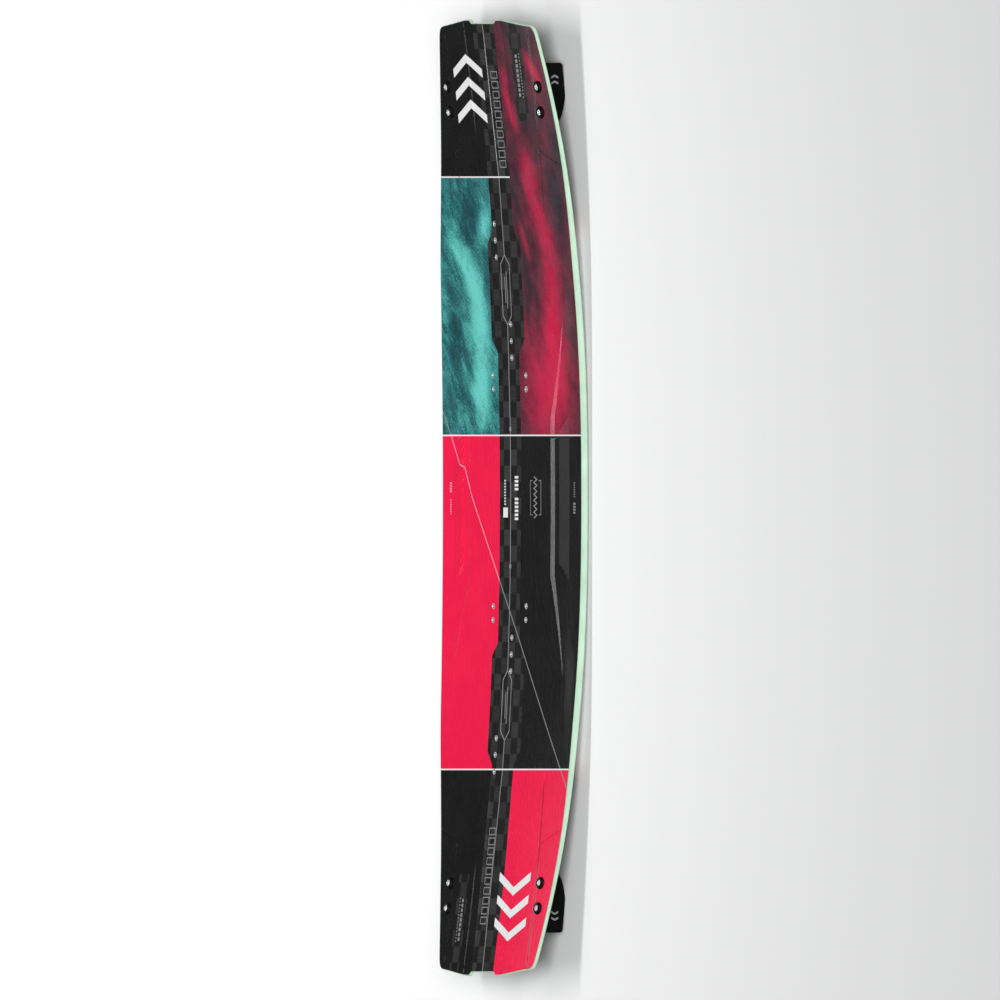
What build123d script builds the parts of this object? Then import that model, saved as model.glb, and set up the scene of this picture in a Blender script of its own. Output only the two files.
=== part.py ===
from build123d import *
import os

# Twin-tip kiteboard. Millimetres. X runs along the board, Y across it and Z up. The deck faces up,
# the toe side is -Y and the heel side is +Y. The board stands on its four fins, whose lowest points
# are at Z = 0, with the origin below the middle of the deck. The board is the same at both tips.

# Overall size
LENGTH = 1450.0
HALF_LENGTH = LENGTH / 2
MID_WIDTH = 435.0
MID_BEVEL_WIDTH = 4.7  # the rail's bevel, seen from above
TIP_BEVEL_WIDTH = 1.8
MID_BEVEL_HEIGHT = 8.5
TIP_BEVEL_HEIGHT = 4.1
BEVEL_FALL_FROM = 250.0  # the bevel loses its height between these places
BEVEL_FALL_TO = 650.0
RAIL_LIP = 1.0  # upright edge of the rail below its bevel
SIDE_TAPER = 72.8  # the deck's half width lost between the middle and the tip
SIDE_TAPER_POWER = 2.68
ROCKER_RISE = 50.75  # the tips stand this much above the middle
ROCKER_POWER = 2.25
MID_THICKNESS = 10.0
THICKNESS_LOSS = 4.5
THICKNESS_POWER = 1.6
BASE_CLEARANCE = 5.9  # from the floor to the middle of the base
MID_DECK_Z = BASE_CLEARANCE + MID_THICKNESS

# Tip outline: a shallow central notch between two lobes, and rounded outer corners
NOTCH_DEPTH = 5.0
NOTCH_HALF_WIDTH = 35.0
LOBE_FROM = 41.0
LOBE_TO = 55.0
SHOULDER_Y = 116.0
SHOULDER_DROP = 7.6
CORNER_DROP = 9.0
CORNER_RADIUS = 16.0
TIP_FILLET = 4.0

# Layers of the sandwich
FILM = 0.4
LAMINATE = 0.6
SKIN = FILM + LAMINATE
CARBON = 0.2
RAIL_WIDTH = 14.0  # hidden width of the rail strip, from the outer edge to the core

# Deck relief: (from, to) pairs are the places between which a feature fades in
SIDE_STEP = 2.2  # the deck beside the stance lies this much below its middle
SIDE_STEP_ACROSS = (110.0, 190.0)
TIP_ARCH_ALONG = (200.0, 450.0)
CHANNEL_DEPTH = 1.5  # the middle of each tip lies this much below the pads beside it
CHANNEL_ALONG = (500.0, 600.0)
PAD_INNER_EDGE = (15.0, 80.0)
PAD_OUTER_EDGE = (150.0, 100.0)
MID_EDGE_DROP = 2.0  # the deck's edge below its centreline
TIP_EDGE_DROP = 4.5  # added towards the tips
TIP_EDGE_ALONG = (300.0, 560.0)
END_EDGE_RISE = 0.7  # and given back at the very end
END_EDGE_ALONG = (600.0, 725.0)

# Carbon strips under the deck film
STRIP_HALF_WIDTH = 33.0
STRIP_WIDE = 50.0
STRIP_WIDE_FROM = 240.0
STRIP_WIDE_TO = 385.0
STRIP_SHOULDER = 20.0
PATCH_INNER_Y = 75.0
PATCH_OUTER_Y = 108.0
PATCH_FROM_X = 571.0

# Threaded M6 inserts for the foot pads and accessories
INSERT_PITCH = 25.4
OUTER_ROW = (390.0, 25.5)
INNER_ROW = (237.6, -9.0)
SQUARE_X = 175.0
SQUARE_LENGTH = 21.0
SQUARE_WIDTH = 101.0
INSERT_RADIUS = 4.6
INSERT_LENGTH = 6.2
INSERT_FLANGE_RADIUS = 7.5
INSERT_FLANGE = 1.2
INSERT_RECESS = 0.3
THREAD_RADIUS = 3.0
THREAD_DEPTH = 5.4

# Fins and their fastenings
FIN_Y = 139.5
FIN_BOLT_X = (584.2, 622.6)
FIN_MIDDLE_X = sum(FIN_BOLT_X) / 2
FIN_OUTER_X = 659.5
FIN_INNER_X = 538.0
FIN_DEEPEST_X = 608.0
FIN_HEEL_RISE = 5.6
FIN_HEEL_RADIUS = 5.0
FIN_THICKNESS = 5.0
FIN_ROOT_THICKNESS = 11.0
FIN_ROOT_HEIGHT = 12.0
FIN_ROOT_FROM = 566.0
FIN_ROOT_TO = 643.0
FIN_TOP_SPARE = 10.0  # trimmed to the base
FIN_RAKE = ((19.0, 3.6), (34.0, 9.4))  # inwards from the deepest point, and above the floor
BUSH_RADIUS = 4.2
BUSH_LENGTH = 10.0
BUSH_SPARE = 5.0  # trimmed to the base
BOLT_RADIUS = 3.0
BOLT_CLEARANCE = 0.05
BOLT_HOLE_RADIUS = 3.5
BOLT_INTO_BUSH = 8.0
BOLT_HEAD_RADIUS = 4.9
BOLT_HEAD_HEIGHT = 2.6
BOLT_SOCKET_RADIUS = 2.3
BOLT_SOCKET_DEPTH = 1.6
BOLT_HOLE_REACH = 25.0  # each way from the deck
WASHER_RADIUS = 9.5
WASHER_HEIGHT = 4.0
WASHER_FLOOR = 1.2  # under the screw head
WASHER_CUP_GAP = 0.2  # round the screw head
WASHER_RIM = 0.2
WASHER_SKIRT = 3.0  # spare depth, trimmed to the deck
WASHER_LIFT = 0.15  # the washer bridges the curve of the deck

DEEP = 100.0  # more than the height of the board
END_MARGIN = 20.0  # how far working surfaces reach past the board
SIDE_MARGIN = 15.0
UP = (0, 0, 1)
DOWN = (0, 0, -1)


def smooth(value, start, end):
    """Rises smoothly from 0 at start to 1 at end."""
    share = min(max((value - start) / (end - start), 0.0), 1.0)
    return share * share * (3 - 2 * share)


def mix(first, second, share):
    return first + (second - first) * share


def rocker(x):
    return ROCKER_RISE * (abs(x) / HALF_LENGTH) ** ROCKER_POWER


def rocker_slope(x):
    return ROCKER_POWER * rocker(x) / x


def mid_thickness(x):
    return MID_THICKNESS - THICKNESS_LOSS * (abs(x) / HALF_LENGTH) ** THICKNESS_POWER


def bevel_width(x):
    return MID_BEVEL_WIDTH - (MID_BEVEL_WIDTH - TIP_BEVEL_WIDTH) * (abs(x) / HALF_LENGTH) ** 3


def bevel_height(x):
    return mix(MID_BEVEL_HEIGHT, TIP_BEVEL_HEIGHT, smooth(abs(x), BEVEL_FALL_FROM, BEVEL_FALL_TO))


def deck_half_width(x):
    """Half width at the upper edge of the rail's bevel."""
    widest = MID_WIDTH / 2 - MID_BEVEL_WIDTH
    return widest - SIDE_TAPER * (abs(x) / HALF_LENGTH) ** SIDE_TAPER_POWER


def outer_half_width(x):
    return deck_half_width(x) + bevel_width(x)


def core_half_width(x):
    return outer_half_width(x) - RAIL_WIDTH


def edge_drop(x):
    """How far the edge of the deck lies below its centreline."""
    tip_drop = TIP_EDGE_DROP * smooth(abs(x), *TIP_EDGE_ALONG)
    return MID_EDGE_DROP + tip_drop - END_EDGE_RISE * smooth(abs(x), *END_EDGE_ALONG)


def deck_height(x, y):
    """The deck's upper surface: lower at the sides in the middle, and arched with a channel at the tips."""
    along = abs(x)
    across = abs(y)
    sides = SIDE_STEP * smooth(across, *SIDE_STEP_ACROSS)
    arch = edge_drop(x) * (across / deck_half_width(x)) ** 2
    drop = mix(sides, arch, smooth(along, *TIP_ARCH_ALONG))
    pad_share = smooth(across, *PAD_INNER_EDGE) * smooth(across, *PAD_OUTER_EDGE)
    pads = CHANNEL_DEPTH * pad_share * smooth(along, *CHANNEL_ALONG)
    return MID_DECK_Z + rocker(x) - drop + pads


def base_height(x, y):
    """The base's lower surface: rocker with a single concave."""
    middle = MID_DECK_Z + rocker(x) - mid_thickness(x)
    concave = edge_drop(x) + bevel_height(x) + RAIL_LIP - mid_thickness(x)
    return middle - concave * (y / deck_half_width(x)) ** 2


def height_surface(height, x_count, y_count):
    """A smooth face through a height function, a little larger than the board."""
    x_span = HALF_LENGTH + END_MARGIN
    y_span = MID_WIDTH / 2 + SIDE_MARGIN
    grid = []
    for i in range(x_count):
        x = mix(-x_span, x_span, i / (x_count - 1))
        row = []
        for j in range(y_count):
            y = mix(-y_span, y_span, j / (y_count - 1))
            row.append((x, y, height(x, y)))
        grid.append(row)
    return Face.make_surface_from_array_of_points(grid, tol=0.01, min_deg=3, max_deg=3)


def shifted(face, rise):
    return face.moved(Location((0, 0, rise)))


def plan_outline(half_width, tip_inset):
    """The board seen from above, with its sides given by a function of x."""
    tip_x = HALF_LENGTH - tip_inset
    corner_x = tip_x - CORNER_DROP - CORNER_RADIUS
    corner_y = half_width(corner_x)
    step = 1.0
    side_slope = (half_width(corner_x) - half_width(corner_x - step)) / step
    stations = [corner_x * share for share in (0, 0.25, 0.5, 0.7, 0.85, 1)]
    side_points = [(x, half_width(x)) for x in stations]
    with BuildSketch() as outline:
        with BuildLine():
            Spline(*side_points, tangents=[(1, 0), (1, side_slope)])
            Spline(
                (corner_x, corner_y),
                (tip_x - CORNER_DROP, corner_y - CORNER_RADIUS),
                tangents=[(1, side_slope), (0, -1)],
            )
            FilletPolyline(
                (tip_x - CORNER_DROP, corner_y - CORNER_RADIUS),
                (tip_x - SHOULDER_DROP, SHOULDER_Y),
                (tip_x, LOBE_TO),
                (tip_x, LOBE_FROM),
                (tip_x - NOTCH_DEPTH, NOTCH_HALF_WIDTH),
                (tip_x - NOTCH_DEPTH, 0),
                radius=TIP_FILLET,
            )
            mirror(about=Plane.XZ)
            mirror(about=Plane.YZ)
        make_face()
    return outline.sketch


def bevel_cutter(side):
    """The space outside the rail's sloping face along one side of the board."""
    stations = 17
    x_span = HALF_LENGTH + END_MARGIN / 2
    with BuildPart() as cutter:
        for i in range(stations):
            x = mix(-x_span, x_span, i / (stations - 1))
            edge_y = deck_half_width(x)
            edge_z = deck_height(x, edge_y)
            width = bevel_width(x)
            height = bevel_height(x)
            section = [
                (edge_y - width, edge_z + height),
                (edge_y + width, edge_z - height),
                (edge_y + END_MARGIN, edge_z - height),
                (edge_y + END_MARGIN, edge_z + height),
            ]
            with BuildSketch(Plane.YZ.offset(x)):
                with BuildLine():
                    Polyline(*[(side * y, z) for y, z in section], close=True)
                make_face()
        loft()
    return cutter.part


def patch_outline(end):
    """A short strip beside the centre strip: on the toe side at the left tip, and opposite at the right."""
    middle_x = end * (PATCH_FROM_X + HALF_LENGTH) / 2
    middle_y = -end * (PATCH_INNER_Y + PATCH_OUTER_Y) / 2
    with BuildSketch() as outline:
        with Locations((middle_x, middle_y)):
            Rectangle(HALF_LENGTH - PATCH_FROM_X, PATCH_OUTER_Y - PATCH_INNER_Y)
    return outline.sketch


def insert_places():
    """The name and hole positions of each group of threaded inserts."""
    places = {}
    for end, sign in (("left", 1), ("right", -1)):
        for row, (row_x, row_y) in (("outer", OUTER_ROW), ("inner", INNER_ROW)):
            places[f"{row}_pad_inserts_{end}"] = [
                (sign * (row_x + step * INSERT_PITCH), row_y) for step in (-1, 0, 1)
            ]
        places[f"handle_inserts_{end}"] = [
            (sign * SQUARE_X + dx * SQUARE_LENGTH / 2, dy * SQUARE_WIDTH / 2)
            for dx in (-1, 1)
            for dy in (-1, 1)
        ]
    return places


def insert_location(x, y):
    return Location((x, y, deck_height(x, y) - INSERT_RECESS))


def bolt_plane(end, side, bolt_x):
    """A frame on the deck at one fin screw, with its Z square to the board along the rocker."""
    x = end * bolt_x
    y = side * FIN_Y
    slope = end * rocker_slope(FIN_MIDDLE_X)
    return Plane(origin=(x, y, deck_height(x, y)), x_dir=(1, 0, slope), z_dir=(-slope, 0, 1))


def washer_seat(x, y):
    """The plane under a washer, level with the deck's slope at one point."""
    step = 4.0
    slope_x = (deck_height(x + step, y) - deck_height(x - step, y)) / (2 * step)
    slope_y = (deck_height(x, y + step) - deck_height(x, y - step)) / (2 * step)
    seat_z = deck_height(x, y) + WASHER_LIFT
    return Plane(origin=(x, y, seat_z), x_dir=(1, 0, slope_x), z_dir=(-slope_x, -slope_y, 1))


def write(part, name):
    part.label = name
    export_step(part, f"parts/{name}.step")


os.makedirs("parts", exist_ok=True)

ENDS = {"left": 1, "right": -1}
SIDES = {"toe": -1, "heel": 1}
BOLT_PLANES = [bolt_plane(end, side, x) for end in (1, -1) for side in (1, -1) for x in FIN_BOLT_X]
INSERT_SPOTS = [insert_location(x, y) for group in insert_places().values() for x, y in group]

deck_face = height_surface(deck_height, 61, 41)
base_face = height_surface(base_height, 49, 21)
outer_outline = plan_outline(outer_half_width, 0)
core_outline = plan_outline(core_half_width, RAIL_WIDTH)
bevel_cutters = [bevel_cutter(side) for side in (1, -1)]

# ---- shared tool shapes ----

with BuildPart() as insert_body:
    with BuildSketch(Plane.XZ):
        with BuildLine():
            Polyline(
                (0, 0),
                (INSERT_RADIUS, 0),
                (INSERT_RADIUS, INSERT_FLANGE - INSERT_LENGTH),
                (INSERT_FLANGE_RADIUS, INSERT_FLANGE - INSERT_LENGTH),
                (INSERT_FLANGE_RADIUS, -INSERT_LENGTH),
                (0, -INSERT_LENGTH),
                close=True,
            )
        make_face()
    revolve(axis=Axis.Z)

with BuildPart() as threaded_insert:
    add(insert_body.part)
    with BuildSketch():
        Circle(THREAD_RADIUS)
    extrude(amount=-THREAD_DEPTH, mode=Mode.SUBTRACT)

with BuildPart() as bolt_holes:
    for plane in BOLT_PLANES:
        with BuildSketch(plane):
            Circle(BOLT_HOLE_RADIUS)
        extrude(amount=BOLT_HOLE_REACH, both=True)

with BuildPart() as insert_holes:
    with Locations(*INSERT_SPOTS):
        Cylinder(INSERT_RADIUS, 4 * SKIN)

with BuildPart() as insert_pockets:
    with Locations(*INSERT_SPOTS):
        add(insert_body.part)

# ---- carbon strips inlaid in the top of the deck laminate ----

with BuildSketch() as centre_strip_outline:
    with BuildLine():
        Polyline(
            (0, STRIP_HALF_WIDTH),
            (STRIP_WIDE_FROM - STRIP_SHOULDER, STRIP_HALF_WIDTH),
            (STRIP_WIDE_FROM, STRIP_WIDE),
            (STRIP_WIDE_TO, STRIP_WIDE),
            (STRIP_WIDE_TO + STRIP_SHOULDER, STRIP_HALF_WIDTH),
            (LENGTH, STRIP_HALF_WIDTH),
            (LENGTH, 0),
        )
        mirror(about=Plane.XZ)
        mirror(about=Plane.YZ)
    make_face()


STRIPS = {
    "carbon_strip_centre": centre_strip_outline.sketch,
    "carbon_patch_left": patch_outline(1),
    "carbon_patch_right": patch_outline(-1),
}

for name, strip_outline in STRIPS.items():
    with BuildPart() as strip:
        extrude(strip_outline, amount=DEEP, dir=UP)
        extrude(outer_outline, amount=DEEP, dir=UP, mode=Mode.INTERSECT)
        extrude(shifted(deck_face, -FILM), amount=CARBON, dir=DOWN, mode=Mode.INTERSECT)
        add(insert_holes.part, mode=Mode.SUBTRACT)
    write(strip.part, name)

# ---- deck film and laminates ----

with BuildPart() as topsheet:
    extrude(outer_outline, amount=DEEP, dir=UP)
    extrude(deck_face, amount=FILM, dir=DOWN, mode=Mode.INTERSECT)
    add(bevel_cutters, mode=Mode.SUBTRACT)
    add(bolt_holes.part, mode=Mode.SUBTRACT)
    add(insert_holes.part, mode=Mode.SUBTRACT)
write(topsheet.part, "topsheet")

with BuildPart() as strip_layer:
    for strip_outline in STRIPS.values():
        extrude(strip_outline, amount=DEEP, dir=UP)
    extrude(shifted(deck_face, -FILM), amount=CARBON, dir=DOWN, mode=Mode.INTERSECT)

with BuildPart() as deck_laminate:
    extrude(outer_outline, amount=DEEP, dir=UP)
    extrude(shifted(deck_face, -FILM), amount=LAMINATE, dir=DOWN, mode=Mode.INTERSECT)
    add(strip_layer.part, mode=Mode.SUBTRACT)
    add(bevel_cutters, mode=Mode.SUBTRACT)
    add(bolt_holes.part, mode=Mode.SUBTRACT)
    add(insert_holes.part, mode=Mode.SUBTRACT)
write(deck_laminate.part, "deck_laminate")

with BuildPart() as base_laminate:
    extrude(outer_outline, amount=DEEP, dir=UP)
    extrude(shifted(base_face, SKIN), amount=LAMINATE, dir=DOWN, mode=Mode.INTERSECT)
    add(bolt_holes.part, mode=Mode.SUBTRACT)
write(base_laminate.part, "base_laminate")

with BuildPart() as base_sheet:
    extrude(outer_outline, amount=DEEP, dir=UP)
    extrude(shifted(base_face, FILM), amount=FILM, dir=DOWN, mode=Mode.INTERSECT)
    add(bolt_holes.part, mode=Mode.SUBTRACT)
write(base_sheet.part, "base_sheet")

# ---- wood core ----

with BuildPart() as wood_core:
    extrude(core_outline, amount=DEEP, dir=UP)
    extrude(shifted(deck_face, -SKIN), amount=DEEP, dir=DOWN, mode=Mode.INTERSECT)
    extrude(shifted(base_face, SKIN), amount=DEEP, dir=DOWN, mode=Mode.SUBTRACT)
    add(bolt_holes.part, mode=Mode.SUBTRACT)
    add(insert_pockets.part, mode=Mode.SUBTRACT)
write(wood_core.part, "wood_core")

# ---- rail strips: one along each side and one across each tip ----

with BuildPart() as rail_ring:
    extrude(outer_outline, amount=DEEP, dir=UP)
    extrude(core_outline, amount=DEEP, dir=UP, mode=Mode.SUBTRACT)
    extrude(shifted(deck_face, -SKIN), amount=DEEP, dir=DOWN, mode=Mode.INTERSECT)
    extrude(shifted(base_face, SKIN), amount=DEEP, dir=DOWN, mode=Mode.SUBTRACT)
    add(bevel_cutters, mode=Mode.SUBTRACT)

RAIL_JOINT_X = HALF_LENGTH - CORNER_DROP - CORNER_RADIUS - RAIL_WIDTH

for name, side in SIDES.items():
    with BuildPart() as side_rail:
        add(rail_ring.part)
        split(bisect_by=Plane.YZ.offset(RAIL_JOINT_X), keep=Keep.BOTTOM)
        split(bisect_by=Plane.YZ.offset(-RAIL_JOINT_X), keep=Keep.TOP)
        split(bisect_by=Plane.XZ, keep=Keep.BOTTOM if side > 0 else Keep.TOP)
    write(side_rail.part, f"rail_{name}_side")

for name, end in ENDS.items():
    with BuildPart() as tip_rail:
        add(rail_ring.part)
        split(bisect_by=Plane.YZ.offset(end * RAIL_JOINT_X), keep=Keep.TOP if end > 0 else Keep.BOTTOM)
    write(tip_rail.part, f"rail_{name}_tip")

# ---- threaded inserts ----

for name, spots in insert_places().items():
    with BuildPart() as insert_group:
        with Locations(*[insert_location(x, y) for x, y in spots]):
            add(threaded_insert.part)
    write(insert_group.part, name)

# ---- fins and their screws ----

with BuildPart() as washer_blank:
    with BuildSketch(Plane.XZ):
        with BuildLine():
            dome = RadiusArc(
                (WASHER_RADIUS, WASHER_HEIGHT / 4),
                (BOLT_HEAD_RADIUS + WASHER_CUP_GAP + WASHER_RIM, WASHER_HEIGHT),
                -WASHER_RADIUS,
            )
            Polyline(
                dome @ 1,
                (BOLT_HEAD_RADIUS + WASHER_CUP_GAP, WASHER_FLOOR),
                (BOLT_HOLE_RADIUS, WASHER_FLOOR),
                (BOLT_HOLE_RADIUS, -WASHER_SKIRT),
                (WASHER_RADIUS, -WASHER_SKIRT),
                dome @ 0,
            )
        make_face()
    revolve(axis=Axis.Z)

for end_name, end in ENDS.items():
    for side_name, side in SIDES.items():
        corner = f"{end_name}_{side_name}"
        fin_y = side * FIN_Y
        planes = [bolt_plane(end, side, x) for x in FIN_BOLT_X]
        bolt_drop = mid_thickness(FIN_MIDDLE_X)  # from the deck to the base at the screws

        # screw: a low round head with a socket, and a plain shank in place of its thread
        with BuildPart() as bolts:
            for plane in planes:
                with BuildSketch(plane.offset(WASHER_FLOOR)):
                    Circle(BOLT_HEAD_RADIUS)
                extrude(amount=BOLT_HEAD_HEIGHT)
                with BuildSketch(plane.offset(WASHER_FLOOR)):
                    Circle(BOLT_RADIUS)
                extrude(amount=-(WASHER_FLOOR + bolt_drop + BOLT_INTO_BUSH))
                with BuildSketch(plane.offset(WASHER_FLOOR + BOLT_HEAD_HEIGHT)):
                    RegularPolygon(BOLT_SOCKET_RADIUS, 6)
                extrude(amount=-BOLT_SOCKET_DEPTH, mode=Mode.SUBTRACT)
        write(bolts.part, f"fin_screws_{corner}")

        # cup washer, flat under its skirt where it meets the deck
        trimmed_washers = []
        for plane, bolt_x in zip(planes, FIN_BOLT_X):
            with BuildPart() as washer:
                with Locations(plane.location):
                    add(washer_blank.part)
                split(bisect_by=washer_seat(end * bolt_x, fin_y), keep=Keep.TOP)
            trimmed_washers.append(washer.part)
        with BuildPart() as washers:
            add(trimmed_washers)
        write(washers.part, f"fin_washers_{corner}")

        # threaded bushes moulded into the root of the fin
        with BuildPart() as bush_stock:
            for plane in planes:
                with BuildSketch(plane.offset(-bolt_drop)):
                    Circle(BUSH_RADIUS)
                extrude(amount=-BUSH_LENGTH)
                with BuildSketch(plane.offset(-bolt_drop)):
                    Circle(BUSH_RADIUS)
                extrude(amount=BUSH_SPARE)
        with BuildPart() as bolt_bores:
            for plane in planes:
                with BuildSketch(plane):
                    Circle(BOLT_RADIUS + BOLT_CLEARANCE)
                extrude(amount=BOLT_HOLE_REACH + BUSH_SPARE, both=True)
        with BuildPart() as bushes:
            add(bush_stock.part)
            add(bolt_bores.part, mode=Mode.SUBTRACT)
            extrude(base_face, amount=DEEP, dir=UP, mode=Mode.SUBTRACT)
        write(bushes.part, f"fin_bushes_{corner}")

        # fin: a thin blade with a raked inner edge and a thicker root that holds the bushes
        inner_z = base_height(FIN_INNER_X, FIN_Y)
        top_z = base_height(FIN_OUTER_X, FIN_Y) + FIN_TOP_SPARE
        rake = [(end * (FIN_DEEPEST_X - inwards), rise) for inwards, rise in FIN_RAKE]
        with BuildPart() as fin:
            with BuildSketch(Plane.XZ.offset(-fin_y)) as blade_outline:
                with BuildLine():
                    Line((end * FIN_INNER_X, top_z), (end * FIN_OUTER_X, top_z))
                    Line((end * FIN_OUTER_X, top_z), (end * FIN_OUTER_X, FIN_HEEL_RISE))
                    Line((end * FIN_OUTER_X, FIN_HEEL_RISE), (end * FIN_DEEPEST_X, 0))
                    Spline((end * FIN_DEEPEST_X, 0), *rake, (end * FIN_INNER_X, inner_z))
                    Line((end * FIN_INNER_X, inner_z), (end * FIN_INNER_X, top_z))
                make_face()
                heel_point = (end * FIN_OUTER_X, FIN_HEEL_RISE)
                fin_heel = blade_outline.vertices().sort_by_distance(heel_point)[0]
                fillet(fin_heel, radius=FIN_HEEL_RADIUS)
            extrude(amount=FIN_THICKNESS / 2, both=True)
            with BuildSketch(Plane.XZ.offset(-fin_y)):
                with BuildLine():
                    Polyline(
                        (end * FIN_ROOT_FROM, top_z),
                        (end * FIN_ROOT_TO, top_z),
                        (end * FIN_ROOT_TO, base_height(FIN_ROOT_TO, FIN_Y) - FIN_ROOT_HEIGHT),
                        (end * FIN_ROOT_FROM, base_height(FIN_ROOT_FROM, FIN_Y) - FIN_ROOT_HEIGHT),
                        close=True,
                    )
                make_face()
            extrude(amount=FIN_ROOT_THICKNESS / 2, both=True)
            extrude(base_face, amount=DEEP, dir=UP, mode=Mode.SUBTRACT)
            add(bush_stock.part, mode=Mode.SUBTRACT)
        write(fin.part, f"fin_{corner}")
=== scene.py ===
import math

import bpy
import numpy as np
from mathutils import Matrix, Vector
from mathutils.geometry import delaunay_2d_cdt


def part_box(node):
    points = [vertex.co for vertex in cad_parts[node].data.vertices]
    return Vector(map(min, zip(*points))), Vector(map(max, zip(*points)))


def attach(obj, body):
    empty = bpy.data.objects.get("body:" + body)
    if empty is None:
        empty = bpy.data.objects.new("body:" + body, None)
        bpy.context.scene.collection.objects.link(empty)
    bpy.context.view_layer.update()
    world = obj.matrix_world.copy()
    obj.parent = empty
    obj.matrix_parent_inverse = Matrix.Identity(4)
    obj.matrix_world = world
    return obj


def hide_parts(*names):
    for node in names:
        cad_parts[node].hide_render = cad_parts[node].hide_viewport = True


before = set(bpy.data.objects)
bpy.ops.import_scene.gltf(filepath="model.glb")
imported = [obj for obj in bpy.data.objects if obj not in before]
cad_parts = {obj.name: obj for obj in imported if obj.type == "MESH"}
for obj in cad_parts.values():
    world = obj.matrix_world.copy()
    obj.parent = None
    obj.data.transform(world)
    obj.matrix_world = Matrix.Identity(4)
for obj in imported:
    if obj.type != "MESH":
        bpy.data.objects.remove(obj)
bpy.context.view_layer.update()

# Looks of the twin-tip kiteboard. Sizes are in millimetres until a mesh is made, and X, Y and Z are
# the frame's: X along the board, the toe side at -Y, the heel side at +Y and the deck facing up.

MM = 0.001


def box_mm(node):
    low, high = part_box(node)
    return np.array(low) / MM, np.array(high) / MM


# Layers of the board
FILM = 0.4
CARBON = 0.2
LAMINATE = 0.6
SKIN = FILM + LAMINATE

# Sizes read from the frame
HALF_LENGTH, HALF_WIDTH = box_mm("base_sheet")[1][:2]
MID_DECK_Z = box_mm("carbon_strip_centre")[0][2] + FILM + CARBON

# Shape of the board, as in the model
MID_BEVEL_WIDTH = 4.7
TIP_BEVEL_WIDTH = 1.8
MID_BEVEL_HEIGHT = 8.5
TIP_BEVEL_HEIGHT = 4.1
BEVEL_FALL_ALONG = (250.0, 650.0)  # the bevel loses its height between these places
RAIL_LIP = 1.0
RAIL_WIDTH = 14.0
SIDE_TAPER = 72.8
SIDE_TAPER_POWER = 2.68
ROCKER_RISE = 50.75
ROCKER_POWER = 2.25
MID_THICKNESS = 10.0
THICKNESS_LOSS = 4.5
THICKNESS_POWER = 1.6
MID_EDGE_DROP = 2.0  # the deck's edge below its centreline
TIP_EDGE_DROP = 4.5  # added towards the tips
TIP_EDGE_ALONG = (300.0, 560.0)
END_EDGE_RISE = 0.7  # and given back at the very end
END_EDGE_ALONG = (600.0, 725.0)
NOTCH_DEPTH = 5.0
NOTCH_HALF_WIDTH = 35.0
LOBE_FROM = 41.0
LOBE_TO = 55.0
SHOULDER_Y = 116.0
SHOULDER_DROP = 7.6
CORNER_DROP = 9.0
CORNER_RADIUS = 16.0
TIP_FILLET = 4.0

# Relief moulded in the deck: a scoop along each side, whose inner wall leans out towards the tips
SCOOP_DEPTH = 2.3
SCOOP_REACH = 205.0
WALL_Y = 127.5
WALL_LEAD = 4.0  # the wall's top edge lies this far inside WALL_Y
WALL_RUN = 4.0  # and the wall falls 1 mm in this many
WALL_BEND_X = 118.0  # straight up to here
WALL_END_X = 270.0
WALL_END_DEPTH = 0.12
WALL_SPREAD = 45.0
WALL_CURVE = 1.15
SCOOP_FADE_ALONG = (230.0, 420.0)
# a ridge in each scoop, beside the middle of the board
RIDGE_Y = (149.0, 149.7, 177.0)  # where it rises, crests and ends
RIDGE_END_X = 104.6
RIDGE_END_LEAN = 0.8
RIDGE_END_BLEND = 4.0
# pads near the tips, and creases along and beside them
PAD_HEIGHT = 0.7
PAD_INNER_STEP = (57.0, 61.5)
PAD_OUTER_STEP = (131.5, 123.5)
PAD_ALONG = (540.0, 575.0)
CREASE_DEPTH = 0.8
CREASE_HALF_WIDTH = 0.8
CREASE_ALONG = (425.0, 437.0)
BRANCH_FROM = np.array((525.0, 127.5))
BRANCH_TO = np.array((502.0, 186.0))

# Places of the printed fields, along the board
TOP_LINE_X = 486.0
MIDDLE_LINE_X = 94.5
LOW_LINE_X = -412.0
STRIP_HALF_WIDTH = 33.0
STRIP_WIDE = 50.0
STRIP_WIDE_FROM = 240.0
STRIP_WIDE_TO = 385.0
STRIP_SHOULDER = 20.0
STRIP_FILLET = 9.0
PATCH_INNER_Y = 75.0
PATCH_OUTER_Y = 108.0
PATCH_FROM_X = 571.0
OVERHANG = 10.0  # outlines run this far past the edge, and are cut there

# Fins and fastenings
FIN_Y = 139.5
FIN_BOLT_X = (584.2, 622.6)
FIN_MIDDLE_X = sum(FIN_BOLT_X) / 2
FIN_OUTER_X = 659.5
FIN_INNER_X = 538.0
FIN_DEEPEST_X = 608.0
FIN_HALF_THICKNESS = 2.5
FIN_ROOT_HALF_THICKNESS = 5.5
FIN_EDGE_HALF_THICKNESS = 0.5
FIN_FOIL = 8.0  # width over which the blade thins to its free edge
FIN_ROOT_FROM = (561.0, 569.0)  # the root swells and ends between these places
FIN_ROOT_TO = (648.0, 640.0)
FIN_ROOT_DOWN = (14.0, 9.5)
FIN_BITE = 0.2  # the root's seat reaches this far into the base
MARK_RISE = 0.12  # the marks stand this much proud of the fin, and reach this deep into it
MARK_SINK = 0.3
FIN_HEEL_RISE = 5.6
FIN_HEEL_RADIUS = 5.0
BOLT_HOLE_RADIUS = 3.6
WASHER_FLOOR = 1.2
INSERT_RADIUS = 4.6
INSERT_FLANGE_RADIUS = 7.5
INSERT_LENGTH = 6.2
INSERT_FLANGE = 1.2
INSERT_RECESS = 0.3
THREAD_DEPTH = 5.4
THREAD_PITCH = 1.0

ENDS = {"left": 1, "right": -1}
SIDES = {"toe": -1, "heel": 1}


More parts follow.
